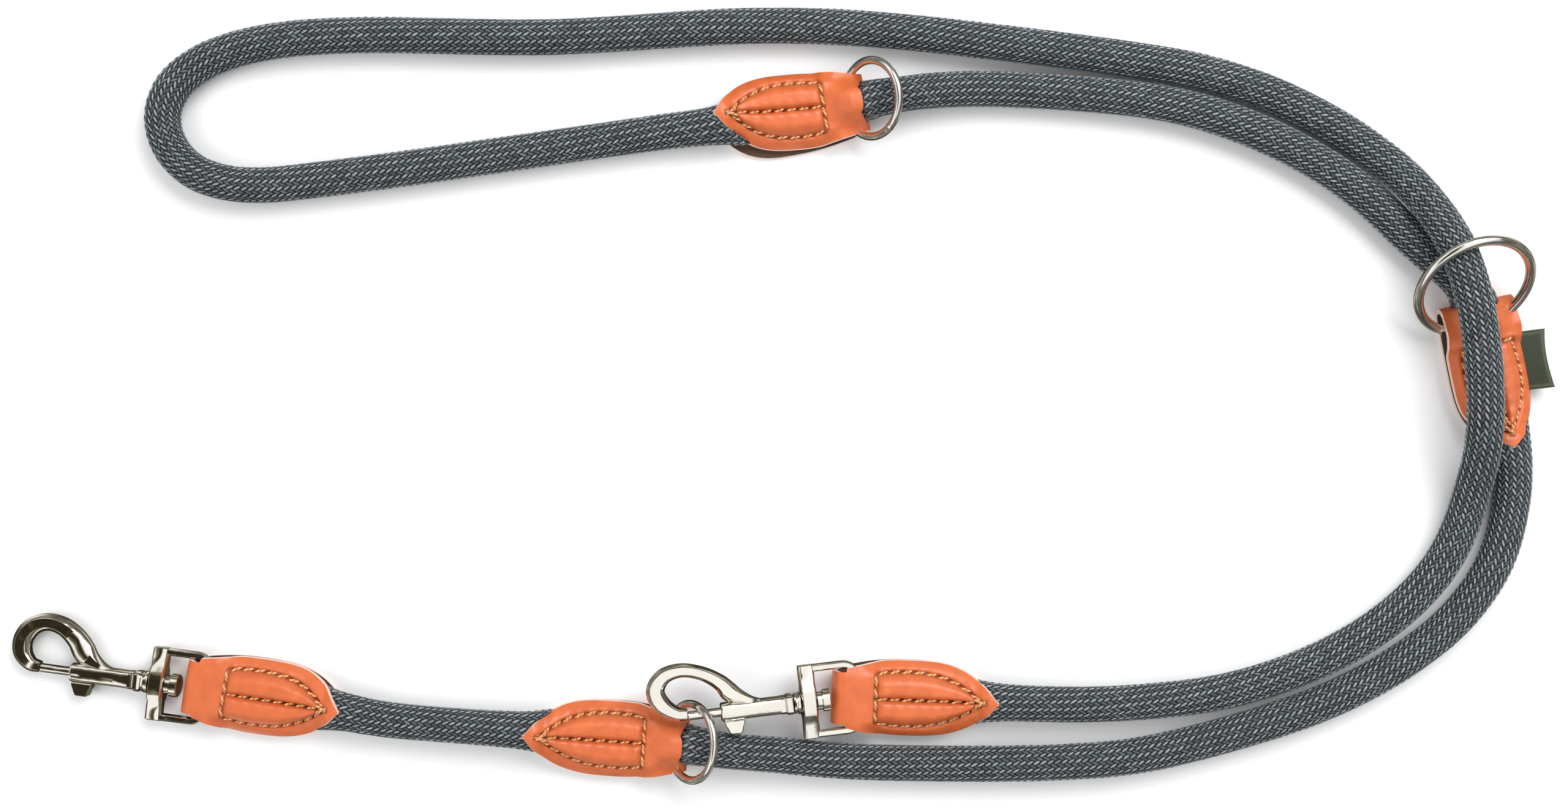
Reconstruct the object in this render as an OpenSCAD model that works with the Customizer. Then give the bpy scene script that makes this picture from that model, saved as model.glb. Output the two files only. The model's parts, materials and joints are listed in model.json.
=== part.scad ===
// Training leash: an adjustable lead of one braided rope with five sewn leather tabs,
// three welded rings and two swivel-eye bolt snaps. It lies on z = 0, +X to the right
// along its longest side, +Y towards the handle loop, +Z up.

/* [Rope] */
// Diameter of the braided rope
rope_d = 12; // [11.8:0.1:12.2]
// Wall of the braided sheath around the core
sheath_wall = 2.2; // [1.8:0.1:2.6]

/* [Leather tabs] */
// Thickness of the leather strap
leather_t = 1.6; // [1.4:0.1:1.8]
// Widest part of a tab
tab_w = 25; // [24:0.5:26]
// Height of the flat, sewn part of a tab
tab_h = 12; // [11.8:0.1:12.2]
// Height of the fold where a ring and the rope lie over each other
ring_fold_h = 15.3; // [15:0.1:16]

/* [Stitching] */
// Distance between two stitches
stitch_pitch = 4.2; // [3.6:0.1:5]
// Width of the sewing thread
thread_w = 0.9; // [0.6:0.1:1.1]

/* [Rings] */
// Outer diameter of the two small rings
small_ring_od = 28; // [27.6:0.1:28.2]
// Wire of the small rings
small_wire_d = 2.7; // [2.4:0.1:2.8]
// Outer diameter of the big ring
big_ring_od = 41.3; // [41:0.1:41.6]
// Wire of the big ring
big_wire_d = 3.3; // [3:0.1:3.3]

/* [Snap hooks] */
// Outer diameter of the barrel
barrel_d = 6.2; // [6:0.1:6.6]
// Length of the barrel
barrel_l = 24.5; // [24:0.1:25]
// Diameter of the sliding bolt
bolt_d = 3; // [2.8:0.1:3.2]
// Travel of the sliding bolt
bolt_travel = 10.5; // [9:0.1:10.5]
// Thickness of the hook
hook_t = 4.8; // [4.5:0.1:5]
// Outer width of the swivel eye
eye_w = 24.8; // [24.4:0.1:25]
// Wire of the swivel eye inside the leather
eye_bar_d = 3; // [2.8:0.1:3.2]
// Diameter of the swivel rivet's shank
shank_d = 4; // [3.8:0.1:4.2]
// Radial running clearance of the bolt and of the swivel
run_gap = 0.05; // [0.02:0.01:0.1]

/* [Hidden] */
$fn = 48;

leather = "#d4622e";
thread = "#d9a860";
nickel = "#c9c7bf";
rope_grey = "#3a464a";

origin_shift = [-0.2, 0.8, 0];

// The rope's route, [x, y, z, half width]. It runs from the free snap through the lower
// ring's tab, the big ring's tab and the handle ring's tab, round the handle loop and back
// through the big ring to the clipped snap. Inside a tab the rope is pressed flat.
route_points = [
    [-188, -92, 6, 8.4], [-158, -97, 6, 8], [-146, -99, 7.2, 6.4], [-133, -101.5, 6.3, 6],
    [-87, -105, 7.2, 6.4], [-76, -106, 6, 8], [-50, -108.4, 6.6, 8.3], [-39.5, -108.8, 10, 7.8],
    [-29, -109.6, 10.8, 6.6], [-19, -111.3, 10.2, 6], [-2, -113.2, 7.6, 6], [26, -115.8, 6, 6],
    [95, -116, 6, 6], [125, -113, 6, 6], [172, -100.2, 6, 6], [193, -91.6, 6, 6],
    [213, -80, 6, 6], [229.5, -66, 6, 6], [241.5, -48.5, 6, 6], [247, -29, 6, 6],
    [247.2, -14, 7, 6.3], [244.4, 1, 6, 8], [239.4, 21.5, 6.4, 8.3], [236.8, 29.3, 10, 8.4],
    [233.8, 38.2, 11.2, 7.4], [228.8, 45.8, 9.6, 6.2], [222, 53.2, 7, 6], [213, 61.5, 6, 6],
    [201, 72.8, 6, 6], [188, 82.8, 6, 6], [173, 91.6, 6, 6], [157, 98.8, 6, 6],
    [139, 104.6, 6, 6], [119, 108.2, 6, 6], [72, 111.4, 6, 6], [52, 110.6, 7.6, 6],
    [40, 108.8, 10.4, 6], [31, 107.3, 10.8, 6.6], [21.5, 105.8, 10, 7.8], [11, 104.1, 6.6, 8.3],
    [-11, 100.6, 6, 8], [-24, 98.6, 7.2, 6.4], [-40, 96.8, 6.2, 6], [-127, 84.5, 6, 6],
    [-156, 80.8, 6, 6], [-174, 79, 6, 6], [-187, 79.8, 6, 6], [-198, 83.8, 6, 6],
    [-205.6, 91.6, 6, 6], [-208.4, 102, 6, 6], [-205, 112, 6, 6], [-196.6, 119.4, 6, 6],
    [-184.5, 124.6, 6, 6], [-168, 128, 6, 6], [-143, 129.6, 6, 6], [-77, 129, 6, 6],
    [-15, 132.6, 6, 6], [14, 132.6, 6, 6], [43, 130.6, 6, 6], [72, 127.4, 6, 6],
    [120, 121.2, 6, 6], [141.5, 117.4, 6, 6], [162.5, 111, 6, 6], [180, 103, 6, 6],
    [195.4, 93.6, 6.6, 6], [209.4, 81.4, 10.2, 6], [219, 68, 15.4, 6], [224.4, 56, 20, 6],
    [228.4, 41.5, 22.4, 6], [231, 26.5, 22.6, 6], [232.5, 13, 21.8, 6], [233.4, -1, 19.8, 6],
    [233.8, -12, 15.2, 6], [232.8, -24, 9.2, 6], [230, -36, 6.4, 6], [223.8, -48.5, 6, 6],
    [213.8, -60.4, 6, 6], [201.4, -70.6, 6, 6], [187, -79.2, 6, 6], [169, -86.8, 6, 6],
    [148.5, -92.4, 6, 6], [124, -95.5, 6, 6], [101, -96.5, 6, 6], [74, -95.6, 7.2, 6.4],
    [62, -95.2, 6, 8], [31, -94.2, 6, 8.4]
];
route = [for (q = route_points)
    [q[0] + origin_shift[0], q[1] + origin_shift[1], q[2], q[3]]];
rope_sides = 8;
core_gap = 0.3;

// Each tab: [x, y of the fold's edge, angle of the tab, length, fold width, tip skew]
free_snap_place = [-201.1, -90, -9.6, 54, 16, 0.8];
lower_ring_place = [-31, -110.1, 176, 55, 14.4, 0];
big_ring_place = [235.5, 39.7, -78, 50, 20.6, 0];
handle_ring_place = [29.2, 107, 189, 51, 17.4, -4.2];
clipped_snap_place = [17.5, -93.7, -1.9, 55.3, 16.4, 0];
widest_at = 0.4;
taper = 3.2;
pocket_l = 13;
channel_w = 17.4;
rise_l = 12;
tip_h = 14.6;
slope_start = 10;
slope_end = 18;
notch_r = 7.6;
notch_u = -1.6;
notch_floor = 4.3;

// Sewn seam on a tab
seam_start = 14.4;
seam_end = 49.7;
seam_half_w = 8.5;
seam_taper = 2.6;
stitch_l = 3;
stitch_h = 0.5;

// Each ring: distance of its hinge from the fold's edge, sideways offset, tilt
lower_ring_at = [7, -2.2, 50];
big_ring_at = [9, -3.4, 42];
handle_ring_at = [7.2, 0, 47];
ring_hinge_z = leather_t + big_wire_d / 2 + 0.1;

// Woven side label sewn into the big ring's tab
label_l = 20;
label_w = 8;
label_t = 0.6;
label_at = [13, 10.6, 5.7];

// Snap hooks, measured from the eye's far bar; the hook lies towards -X
free_snap_at = [-193.3, -91.8, 4.8];
free_snap_turn = [0, -1.2, -7.5];
clipped_snap_at = [26.8, -93.1, 8.3];
clipped_snap_turn = [0, 6.2, 5.9];
crossbar_from = -20.1;
crossbar_l = 5.6;
crossbar_h = 5.2;
boss_d = 8.6;
leg_w = 2.6;
corner_r = 5;
collar_d = 7.6;
collar_l = 2.2;
end_gap = 0.1;
mouth_x = crossbar_from - 2 * end_gap - collar_l - barrel_l;
rear_bore_l = 4;
tip_gap = 0.3;
press = 0.01;
neck_from = 1.2;
neck_to = 4.2;
neck_t = 1.9;
knob_t = 4;
rivet_neck_d = 6.4;
rivet_neck_l = 1.6;
rivet_head_d = 7.8;
rivet_head_l = 2.8;
coil_turns = 9;
coil_r = 1.12;
coil_wire_r = 0.24;
coil_steps = 10;
coil_sides = 5;

// The hooks' limbs, [x, y, width], from the tip to the root, measured from the mouth
free_limb = [
    [-11, 0.3, 3.9], [-14.2, 0.9, 4.8], [-17.4, 4.4, 6.2], [-17.8, 9, 6.4], [-15.2, 13.4, 6.2],
    [-10.2, 15.6, 5.8], [-4.4, 14.6, 6.2], [0.6, 11, 7], [4, 6.6, 8], [6.2, 2.4, 8.6]
];
clipped_limb = [
    [-11.4, 0.5, 4], [-15, 1.3, 4.8], [-19.4, 4.8, 6.2], [-21, 9.4, 6.2], [-18.2, 13.8, 5.4],
    [-12, 15.4, 4.6], [-4.6, 13.4, 4.6], [1, 9.6, 5.4], [4, 6, 6.4], [6.4, 2.4, 7.6]
];
limb_steps = 5;

function unit(v) = v / norm(v);
function place_of(q) = [q[0], q[1], q[2]];

// ---- rope -------------------------------------------------------------------------

function rope_along(i) = unit(place_of(route[min(i + 1, len(route) - 1)])
                              - place_of(route[max(i - 1, 0)]));
function rope_side(t) = unit([t[1], -t[0], 0]);

// Point k of the oval section at route point i, at a share of the rope's full size
function rope_point(i, k, share) =
    let (t = rope_along(i), s = rope_side(t), up = cross(s, t), a = 360 * k / rope_sides)
    let (w = route[i][3] * rope_d / 12, h = rope_d * rope_d / 4 / w)
    place_of(route[i]) + share * (s * w * cos(a) + up * h * sin(a));

function rope_rings(share) = [for (i = [0:len(route) - 1], k = [0:rope_sides - 1])
    rope_point(i, k, share)];

// Two triangles per side between ring i and the next; inward faces run the other way
function wall_faces(from, rings, sides, inward) = [
    for (i = [0:rings - 2], k = [0:sides - 1], half = [0, 1])
        let (n = (k + 1) % sides)
        let (a = from + i * sides + k, b = from + i * sides + n)
        let (c = b + sides, d = a + sides)
        let (f = half == 0 ? [a, b, c] : [a, c, d])
        inward ? [f[0], f[2], f[1]] : f
];

function cap_face(first, sides, near) = near
    ? [for (k = [sides - 1:-1:0]) first + k]
    : [for (k = [0:sides - 1]) first + k];

// Flat ring that joins the outer and the inner wall at one end
function rim_faces(outer, inner, sides, near) = [
    for (k = [0:sides - 1])
        let (n = (k + 1) % sides)
        near ? [outer + k, inner + k, inner + n, outer + n]
             : [outer + k, outer + n, inner + n, inner + k]
];

module rope_sheath() {
    rings = len(route);
    count = rings * rope_sides;
    last = count - rope_sides;
    inside = 1 - 2 * sheath_wall / rope_d;
    color(rope_grey)
        polyhedron(
            points = concat(rope_rings(1), rope_rings(inside)),
            faces = concat(
                wall_faces(0, rings, rope_sides, false),
                wall_faces(count, rings, rope_sides, true),
                rim_faces(0, count, rope_sides, true),
                rim_faces(last, count + last, rope_sides, false)
            ),
            convexity = 10
        );
}

module rope_core() {
    rings = len(route);
    color("white")
        polyhedron(
            points = rope_rings(1 - 2 * (sheath_wall + core_gap) / rope_d),
            faces = concat(
                wall_faces(0, rings, rope_sides, false),
                [cap_face(0, rope_sides, true)],
                [cap_face((rings - 1) * rope_sides, rope_sides, false)]
            ),
            convexity = 10
        );
}

// ---- leather tabs -----------------------------------------------------------------

// Puts children in a tab's frame: x from the fold's edge to the tip, y across
module at_tab(place) {
    translate([place[0], place[1], 0] + origin_shift)
        rotate([0, 0, place[2]])
            children();
}

function half_width(u, len_u, fold_w) =
    let (m = widest_at * len_u)
    u < m ? fold_w / 2 + (tab_w - fold_w) / 2 * sin(90 * u / m)
          : tab_w / 2 * (1 - pow((u - m) / (len_u - m), taper));

function skew_at(u, len_u, skew) = skew * pow(u / len_u, 2);

module tab_outline(len_u, fold_w, skew) {
    steps = 20;
    us = [for (i = [0:steps]) len_u * i / steps];
    polygon(concat(
        [for (u = us) [u, skew_at(u, len_u, skew) + half_width(u, len_u, fold_w)]],
        [for (i = [steps - 1:-1:0])
            [us[i], skew_at(us[i], len_u, skew) - half_width(us[i], len_u, fold_w)]]
    ));
}

// Side view of a tab, or of the space inside it when inset by the leather
module tab_profile(len_u, fold_h, inset) {
    translate([fold_h / 2, fold_h / 2])
        circle(r = fold_h / 2 - inset);
    polygon([
        [fold_h / 2, inset], [len_u + 1, inset], [len_u + 1, tip_h - inset],
        [len_u, tip_h - inset], [len_u - rise_l, tab_h - inset], [slope_end, tab_h - inset],
        [slope_start, fold_h - inset], [fold_h / 2, fold_h - inset]
    ]);
}

// Extrudes a side view across a width
module across(w) {
    translate([0, w / 2, 0])
        rotate([90, 0, 0])
            linear_extrude(w)
                children();
}

module leather_tab(place, fold_h, rope_leaves) {
    len_u = place[3];
    color(leather)
        at_tab(place)
            difference() {
                intersection() {
                    linear_extrude(tip_h + 5)
                        tab_outline(len_u, place[4], place[5]);
                    across(2 * tab_w)
                        tab_profile(len_u, fold_h, 0);
                }
                across(channel_w)
                    tab_profile(len_u, fold_h, leather_t);
                intersection() {
                    across(2 * tab_w)
                        tab_profile(len_u, fold_h, leather_t);
                    translate([0, -tab_w, 0])
                        cube([pocket_l, 2 * tab_w, 2 * fold_h]);
                }
                if (rope_leaves)
                    translate([notch_u, 0, notch_floor])
                        cylinder(r = notch_r, h = 2 * fold_h);
            }
}

module free_snap_tab() { leather_tab(free_snap_place, tab_h, false); }
module lower_ring_tab() { leather_tab(lower_ring_place, ring_fold_h, true); }
module big_ring_tab() { leather_tab(big_ring_place, ring_fold_h, true); }
module handle_ring_tab() { leather_tab(handle_ring_place, ring_fold_h, true); }
module clipped_snap_tab() { leather_tab(clipped_snap_place, tab_h, false); }

// ---- stitching --------------------------------------------------------------------

function seam_v(u, len_u) =
    let (m = widest_at * len_u, last = seam_end * len_u / 54)
    u < m ? seam_half_w
          : seam_half_w * (1 - pow(min(1, (u - m) / (last - m)), seam_taper));

function top_z(u, fold_h) =
    u < slope_start ? fold_h
    : u < slope_end ? fold_h + (tab_h - fold_h) * (u - slope_start) / (slope_end - slope_start)
    : tab_h;

module stitch(u, v, z, turn) {
    translate([u, v, z + stitch_h / 2])
        rotate([0, 0, turn])
            cube([stitch_l, thread_w, stitch_h], center = true);
}

module stitching(place, fold_h) {
    len_u = place[3];
    run = len_u - rise_l - seam_start;
    along = floor(run / stitch_pitch);
    across_n = floor(2 * seam_half_w / stitch_pitch);
    color(thread)
        at_tab(place) {
            for (i = [0:along - 1], side = [-1, 0, 1]) {
                u = seam_start + stitch_pitch * (i + 0.7);
                v = side * seam_v(u, len_u);
                slope = side * (seam_v(u + 1, len_u) - seam_v(u - 1, len_u)) / 2;
                stitch(u, v + skew_at(u, len_u, place[5]), top_z(u, fold_h), atan(slope));
            }
            for (i = [0:across_n - 1]) {
                v = stitch_pitch * (i - (across_n - 1) / 2);
                stitch(seam_start, v, top_z(seam_start, fold_h), 90);
            }
        }
}

module free_snap_stitching() { stitching(free_snap_place, tab_h); }
module lower_ring_stitching() { stitching(lower_ring_place, ring_fold_h); }
module big_ring_stitching() { stitching(big_ring_place, ring_fold_h); }
module handle_ring_stitching() { stitching(handle_ring_place, ring_fold_h); }
module clipped_snap_stitching() { stitching(clipped_snap_place, tab_h); }

module side_label() {
    color("#4c5a34")
        at_tab(big_ring_place)
            translate(label_at)
                cube([label_l, label_w, label_t]);
}

// ---- rings ------------------------------------------------------------------------

// A ring stands up from its hinge in the fold, leaning out over the rope
module wire_ring(place, at, od, wire_d) {
    r = (od - wire_d) / 2;
    color(nickel)
        at_tab(place)
            translate([at[0], at[1], ring_hinge_z])
                rotate([0, at[2], 0])
                    translate([-r, 0, 0])
                        rotate_extrude()
                            translate([r, 0])
                                circle(d = wire_d);
}

module lower_ring() { wire_ring(lower_ring_place, lower_ring_at, small_ring_od, small_wire_d); }
module big_ring() { wire_ring(big_ring_place, big_ring_at, big_ring_od, big_wire_d); }
module handle_ring() { wire_ring(handle_ring_place, handle_ring_at, small_ring_od, small_wire_d); }

// ---- snap hooks -------------------------------------------------------------------

module at_snap(place, turn) {
    translate(place + origin_shift)
        rotate(turn)
            children();
}
module at_free() { at_snap(free_snap_at, free_snap_turn) children(); }
module at_clipped() { at_snap(clipped_snap_at, clipped_snap_turn) children(); }

// A cylinder along +X
module rod(from, l, d) {
    translate([from, 0, 0])
        rotate([0, 90, 0])
            cylinder(h = l, d = d);
}

module swivel_eye() {
    leg_y = (eye_w - leg_w) / 2;
    color(nickel)
        difference() {
            union() {
                translate([crossbar_from, -eye_w / 2, -crossbar_h / 2])
                    cube([crossbar_l, eye_w, crossbar_h]);
                rod(crossbar_from, crossbar_l, boss_d);
                for (side = [-1, 1]) {
                    translate([crossbar_from, side * leg_y - leg_w / 2, -leg_w / 2])
                        cube([-crossbar_from - corner_r, leg_w, leg_w]);
                    translate([-corner_r, side * (leg_y - corner_r), 0])
                        rotate([0, 0, side > 0 ? 0 : -90])
                            rotate_extrude(angle = 90)
                                translate([corner_r, 0])
                                    circle(d = eye_bar_d);
                }
                translate([0, -(leg_y - corner_r), 0])
                    rotate([-90, 0, 0])
                        cylinder(h = 2 * (leg_y - corner_r), d = eye_bar_d);
            }
            rod(crossbar_from - 1, crossbar_l + 2, shank_d + 2 * run_gap);
        }
}

// Rivet whose shank is pressed into the barrel's rear through the crossbar
module swivel_rivet() {
    head_from = crossbar_from + crossbar_l + end_gap;
    shank_end = mouth_x + barrel_l - rear_bore_l;
    color(nickel) {
        rod(shank_end, head_from + 1 - shank_end, shank_d);
        rod(head_from, rivet_neck_l, rivet_neck_d);
        rod(head_from + rivet_neck_l, rivet_head_l, rivet_head_d);
    }
}

module swivel_collar() {
    color(nickel)
        difference() {
            rod(crossbar_from - end_gap - collar_l, collar_l, collar_d);
            rod(crossbar_from - end_gap - collar_l - 1, collar_l + 2, shank_d + 2 * run_gap);
        }
}

// Smooth curve through the limb's points
function curve_at(a, b, c, d, t) =
    0.5 * (2 * b + (c - a) * t + (2 * a - 5 * b + 4 * c - d) * t * t
           + (3 * b - a - 3 * c + d) * t * t * t);
function limb_curve(p) = [
    for (i = [0:len(p) - 2], s = [0:limb_steps - (i == len(p) - 2 ? 0 : 1)])
        curve_at(p[max(i - 1, 0)], p[i], p[i + 1], p[min(i + 2, len(p) - 1)], s / limb_steps)
];
function limb_edge(c, side) = [
    for (i = [0:len(c) - 1])
        let (t = unit([for (j = [0, 1]) c[min(i + 1, len(c) - 1)][j] - c[max(i - 1, 0)][j]]))
        [c[i][0] - side * t[1] * c[i][2] / 2, c[i][1] + side * t[0] * c[i][2] / 2]
];

module hook_body(limb) {
    curve = limb_curve(limb);
    back = limb_edge(curve, -1);
    color(nickel)
        translate([mouth_x, 0, 0])
            difference() {
                union() {
                    translate([0, 0, -hook_t / 2])
                        linear_extrude(hook_t)
                            polygon(concat(
                                limb_edge(curve, 1),
                                [for (i = [len(back) - 1:-1:0]) back[i]]
                            ));
                    rod(0, barrel_l, barrel_d);
                    rod(barrel_l - 2, 2, barrel_d + 0.8);
                }
                rod(-0.5, barrel_l - rear_bore_l + 0.5, bolt_d + 2 * run_gap);
                rod(barrel_l - rear_bore_l - 1, rear_bore_l + 2, shank_d - 2 * press);
                translate([neck_from - end_gap, -barrel_d, -neck_t / 2 - end_gap])
                    cube([
                        neck_to - neck_from + bolt_travel + 3 * end_gap,
                        barrel_d,
                        neck_t + 2 * end_gap
                    ]);
            }
}

module gate_bolt(limb) {
    tip_x = limb[0][0] + tip_gap;
    color(nickel)
        translate([mouth_x, 0, 0]) {
            rod(tip_x, neck_to + 0.3 - tip_x, bolt_d);
            translate([neck_from, -barrel_d / 2 - 0.5, -neck_t / 2])
                cube([neck_to - neck_from, barrel_d / 2, neck_t]);
            translate([0, 0, -knob_t / 2])
                linear_extrude(knob_t)
                    polygon([[0.8, -3.3], [7.8, -3.3], [7.2, -5.2], [6.6, -7.6], [2.2, -7.6],
                             [1.2, -5.4]]);
        }
}

// Compression spring between the bolt and the rivet
module gate_spring() {
    from = neck_to + 0.5 + coil_wire_r;
    run = barrel_l - rear_bore_l - 0.2 - coil_wire_r - from;
    steps = coil_turns * coil_steps;
    pts = [
        for (i = [0:steps], k = [0:coil_sides - 1])
            let (a = 360 * i / coil_steps, b = 360 * k / coil_sides)
            let (out = [0, cos(a), sin(a)])
            let (t = unit([run / coil_turns / 2 / PI / coil_r, -sin(a), cos(a)]))
            [from + run * i / steps, 0, 0] + out * coil_r
            + coil_wire_r * (out * cos(b) + cross(out, t) * sin(b))
    ];
    color("silver")
        translate([mouth_x, 0, 0])
            polyhedron(
                points = pts,
                faces = concat(
                    wall_faces(0, steps + 1, coil_sides, false),
                    [cap_face(0, coil_sides, true)],
                    [cap_face(steps * coil_sides, coil_sides, false)]
                ),
                convexity = 10
            );
}

module free_eye() { at_free() swivel_eye(); }
module free_rivet() { at_free() swivel_rivet(); }
module free_collar() { at_free() swivel_collar(); }
module free_hook() { at_free() hook_body(free_limb); }
module free_bolt() { at_free() gate_bolt(free_limb); }
module free_spring() { at_free() gate_spring(); }
module clipped_eye() { at_clipped() swivel_eye(); }
module clipped_rivet() { at_clipped() swivel_rivet(); }
module clipped_collar() { at_clipped() swivel_collar(); }
module clipped_hook() { at_clipped() hook_body(clipped_limb); }
module clipped_bolt() { at_clipped() gate_bolt(clipped_limb); }
module clipped_spring() { at_clipped() gate_spring(); }

rope_sheath();
rope_core();
free_snap_tab();
lower_ring_tab();
big_ring_tab();
handle_ring_tab();
clipped_snap_tab();
free_snap_stitching();
lower_ring_stitching();
big_ring_stitching();
handle_ring_stitching();
clipped_snap_stitching();
side_label();
lower_ring();
big_ring();
handle_ring();
free_eye();
free_rivet();
free_collar();
free_hook();
free_bolt();
free_spring();
clipped_eye();
clipped_rivet();
clipped_collar();
clipped_hook();
clipped_bolt();
clipped_spring();
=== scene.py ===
"""Looks of the training leash: braided rope, sewn leather tabs, rings and swivel bolt snaps."""
import json
import math

import bpy
import numpy as np
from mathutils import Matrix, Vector


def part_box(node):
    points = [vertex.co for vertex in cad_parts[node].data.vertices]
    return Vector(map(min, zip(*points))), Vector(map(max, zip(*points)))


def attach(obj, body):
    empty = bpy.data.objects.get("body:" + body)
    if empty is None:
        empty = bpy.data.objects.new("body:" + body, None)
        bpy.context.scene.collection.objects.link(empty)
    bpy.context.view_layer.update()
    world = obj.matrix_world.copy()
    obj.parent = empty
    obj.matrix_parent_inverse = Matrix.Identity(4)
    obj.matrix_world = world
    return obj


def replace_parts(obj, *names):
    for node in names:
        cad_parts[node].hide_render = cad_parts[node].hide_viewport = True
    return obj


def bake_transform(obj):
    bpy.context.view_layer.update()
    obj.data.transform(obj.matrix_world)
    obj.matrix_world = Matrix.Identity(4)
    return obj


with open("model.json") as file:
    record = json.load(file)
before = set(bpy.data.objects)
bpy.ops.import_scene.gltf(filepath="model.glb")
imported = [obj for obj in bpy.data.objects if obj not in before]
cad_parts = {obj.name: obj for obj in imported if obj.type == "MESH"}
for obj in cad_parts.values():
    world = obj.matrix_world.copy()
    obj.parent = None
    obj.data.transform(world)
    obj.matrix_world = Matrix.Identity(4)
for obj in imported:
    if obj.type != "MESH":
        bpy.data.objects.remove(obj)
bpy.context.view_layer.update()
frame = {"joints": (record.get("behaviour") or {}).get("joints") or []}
MM = 0.001

# ---- camera ---------------------------------------------------------------------------

CAMERA_AT = (0.00125, 0.00514, 0.656)
CAMERA_LENS = 44.18
SENSOR_WIDTH = 36
camera_data = bpy.data.cameras.new("camera")
camera_data.lens = CAMERA_LENS
camera_data.sensor_width = SENSOR_WIDTH
camera = bpy.data.objects.new("camera", camera_data)
camera.location = CAMERA_AT
bpy.context.scene.collection.objects.link(camera)
bpy.context.scene.camera = camera

# ---- meshes ---------------------------------------------------------------------------


def make_object(name, points, faces, materials, sharp_angle=None, face_material=None):
    """A mesh object with smooth faces; edges sharper than sharp_angle, in degrees, stay sharp."""
    mesh = bpy.data.meshes.new(name)
    mesh.from_pydata(np.asarray(points, float).tolist(), [], faces)
    for material in materials:
        mesh.materials.append(material)
    if face_material is not None:
        mesh.polygons.foreach_set("material_index", face_material)
    mesh.polygons.foreach_set("use_smooth", [True] * len(mesh.polygons))
    if sharp_angle is not None:
        mesh.set_sharp_from_angle(angle=math.radians(sharp_angle))
    mesh.update()
    made = bpy.data.objects.new(name, mesh)
    bpy.context.scene.collection.objects.link(made)
    return made


def add_point_value(made, name, values):
    layer = made.data.attributes.new(name, "FLOAT", "POINT")
    layer.data.foreach_set("value", np.asarray(values, np.float32).ravel())


def unit(v):
    return v / np.linalg.norm(v, axis=-1, keepdims=True)


def smoothstep(low, high, x):
    t = np.clip((x - low) / (high - low), 0, 1)
    return t * t * (3 - 2 * t)


def loft_faces(rings, sides, first=0, caps=True):
    """Quads between successive closed sections of equal point count, and a cap at each end."""
    faces = []
    for i in range(rings - 1):
        a = first + i * sides
        for k in range(sides):
            n = (k + 1) % sides
            faces.append((a + k, a + n, a + sides + n, a + sides + k))
    if caps:
        last = first + (rings - 1) * sides
        faces.append(tuple(first + k for k in reversed(range(sides))))
        faces.append(tuple(last + k for k in range(sides)))
    return faces


def sheet_faces(rows, columns):
    """Faces of a sheet with an outer and an inner grid of points, and the kind of each face:
    0 on the outer grid, 1 on the rim, 2 on the inner grid."""
    quads, kinds = [], []
    base = rows * columns
    for i in range(rows - 1):
        for j in range(columns - 1):
            a, d = i * columns + j, (i + 1) * columns + j
            b, c = a + 1, d + 1
            quads += [(a, b, c, d), (base + d, base + c, base + b, base + a)]
            kinds += [0, 2]
    for i in range(rows - 1):
        for j, turned in ((0, False), (columns - 1, True)):
            a, d = i * columns + j, (i + 1) * columns + j
            quad = (a, d, base + d, base + a)
            quads.append(quad[::-1] if turned else quad)
            kinds.append(1)
    for j in range(columns - 1):
        for i, turned in ((0, False), (rows - 1, True)):
            a = i * columns + j
            quad = (a, a + 1, base + a + 1, base + a)
            quads.append(quad[::-1] if turned else quad)
            kinds.append(1)
    return quads, kinds


class Shape:
    """Collects lofts, in millimetres in a local frame, into one mesh."""

    def __init__(self):
        self.points = []
        self.faces = []

    def loft(self, sections):
        sections = np.asarray(sections, float)
        rings, sides = sections.shape[:2]
        self.faces += loft_faces(rings, sides, len(self.points))
        self.points += sections.reshape(-1, 3).tolist()
        return self

    def lathe(self, outline, sides=48):
        """Turns an outline of (x, radius) about the local x axis."""
        angles = np.linspace(0, 2 * math.pi, sides, endpoint=False)
        return self.loft([
            [(x, r * math.cos(a), r * math.sin(a)) for a in angles] for x, r in outline
        ])


def spline(points, steps):
    """Smooth curve through the points, with steps samples on each stretch. Any columns."""
    p = np.asarray(points, float)
    p = np.vstack([2 * p[0] - p[1], p, 2 * p[-1] - p[-2]])
    gap = np.sqrt(np.linalg.norm(np.diff(p[:, :3], axis=0), axis=1))
    knot = np.concatenate([[0], np.cumsum(gap)])
    out = []
    for i in range(1, len(p) - 2):
        t0, t1, t2, t3 = knot[i - 1:i + 3]
        t = np.linspace(t1, t2, steps, endpoint=False)[:, None]
        a1 = (t1 - t) / (t1 - t0) * p[i - 1] + (t - t0) / (t1 - t0) * p[i]
        a2 = (t2 - t) / (t2 - t1) * p[i] + (t - t1) / (t2 - t1) * p[i + 1]
        a3 = (t3 - t) / (t3 - t2) * p[i + 1] + (t - t2) / (t3 - t2) * p[i + 2]
        b1 = (t2 - t) / (t2 - t0) * a1 + (t - t0) / (t2 - t0) * a2
        b2 = (t3 - t) / (t3 - t1) * a2 + (t - t1) / (t3 - t1) * a3
        out.append((t2 - t) / (t2 - t1) * b1 + (t - t1) / (t2 - t1) * b2)
    out.append(p[-2:-1])
    return np.vstack(out)


# ---- materials ------------------------------------------------------------------------


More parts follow.
